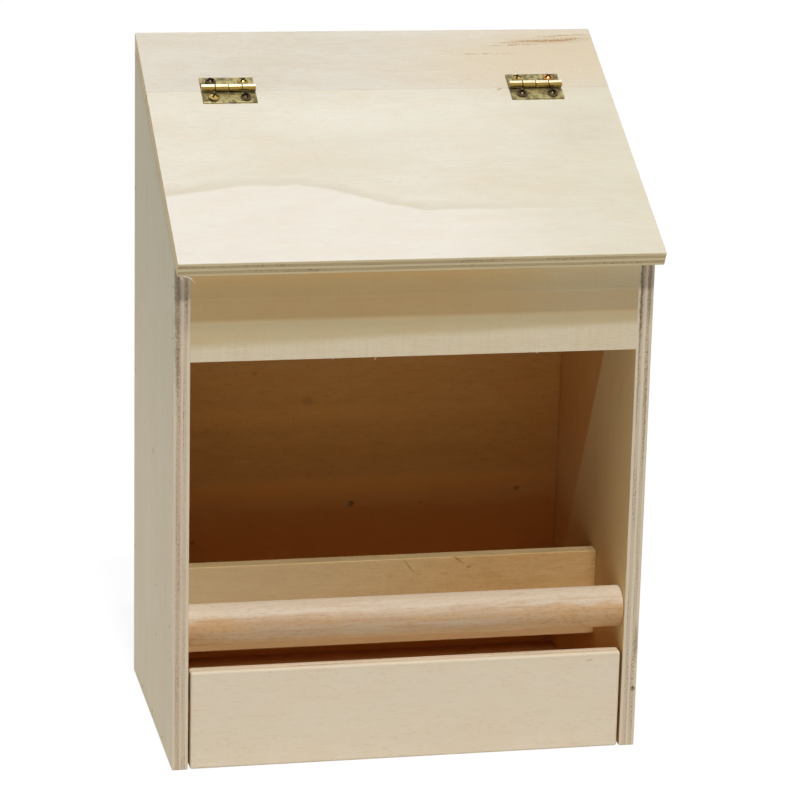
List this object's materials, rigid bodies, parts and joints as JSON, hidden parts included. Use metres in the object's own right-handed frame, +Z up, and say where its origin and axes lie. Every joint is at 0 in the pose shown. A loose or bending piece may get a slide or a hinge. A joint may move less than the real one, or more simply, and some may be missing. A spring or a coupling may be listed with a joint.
{
  "type": "bird feeder",
  "caption": "Plywood hopper bird feeder: open-fronted box with round perch, seed trough and rail, and a sloping roof whose front board is a hinged lid.",
  "frame": {"origin": "on the ground, under the middle of the box between the side panels and between front and back", "axes": "+X to the right seen from the front, +Y from the open front to the back, +Z up"},
  "size_m": [0.1514, 0.1004, 0.218],
  "materials": {
    "plywood": "bare sanded veneer",
    "dowel_wood": "bare turned wood",
    "hinge_brass": "satin plated",
    "screw_brass": "dull plated",
    "nail_steel": "bright wire"
  },
  "bodies": {
    "box": {"left_side_panel": "plywood", "right_side_panel": "plywood", "back_panel": "plywood", "floor_panel": "plywood", "front_board": "plywood", "front_fascia": "plywood", "seed_rail": "plywood", "roof_strip": "plywood", "perch_dowel": "dowel_wood", "left_hinge_roof_leaf": "hinge_brass", "left_hinge_pin": "hinge_brass", "right_hinge_roof_leaf": "hinge_brass", "right_hinge_pin": "hinge_brass", "hinge_roof_screws": "screw_brass", "fascia_pins": "nail_steel", "rail_pins": "nail_steel", "perch_pins": "nail_steel", "floor_pins": "nail_steel", "back_pins": "nail_steel"},
    "lid": {"lid": "plywood", "left_hinge_lid_leaf": "hinge_brass", "right_hinge_lid_leaf": "hinge_brass", "hinge_lid_screws": "screw_brass"}
  },
  "joints": [
    {"name": "lid_hinge", "type": "hinge", "parent": "box", "child": "lid", "pos_m": [0.00135, 0.0183, 0.20441], "axis": [-1, 0, 0], "range_deg": [0, 160]}
  ]
}
